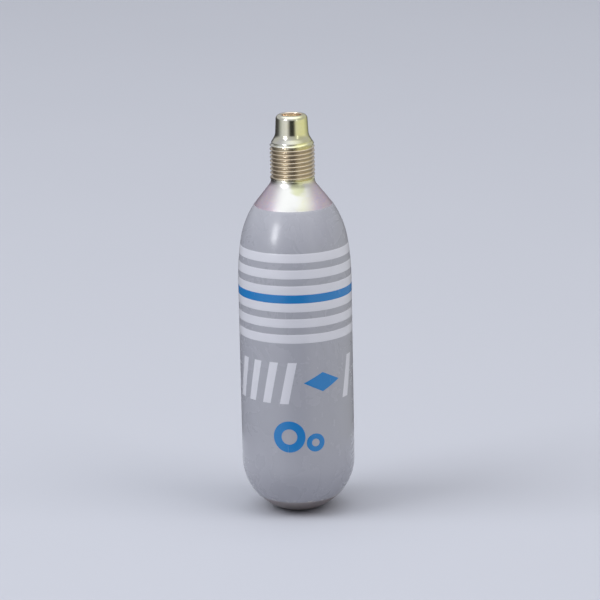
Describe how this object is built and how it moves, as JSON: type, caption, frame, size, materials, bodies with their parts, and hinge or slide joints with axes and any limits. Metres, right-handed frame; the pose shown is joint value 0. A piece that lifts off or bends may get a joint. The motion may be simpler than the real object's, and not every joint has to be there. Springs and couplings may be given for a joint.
{
  "type": "oxygen cartridge",
  "caption": "Slim sealed steel gas cartridge with a domed base, long shoulder and threaded neck, enamelled grey with printed white and blue bands.",
  "frame": {"origin": "centre of the flat the cylinder stands on", "axes": "+Z along the cylinder's axis, towards the neck; the printed marks face -Y"},
  "size_m": [0.0402, 0.0402, 0.143],
  "materials": {
    "plated_steel": "bright zinc plating with a pale yellow-green iridescent passivation",
    "plated_cap": "bright plated pressing",
    "grey_enamel": "gloss stoved enamel",
    "white_ink": "gloss screen-printed ink",
    "blue_ink": "gloss screen-printed ink"
  },
  "bodies": {
    "root": {"cylinder_body": "plated_steel", "sealing_cap": "plated_cap", "enamel_coat": "grey_enamel", "white_band_1": "white_ink", "white_band_2": "white_ink", "white_band_3": "white_ink", "white_band_4": "white_ink", "white_band_5": "white_ink", "white_band_6": "white_ink", "blue_band": "blue_ink", "slanted_bars": "white_ink", "blue_diamond": "blue_ink", "blue_rings": "blue_ink"}
  },
  "joints": []
}
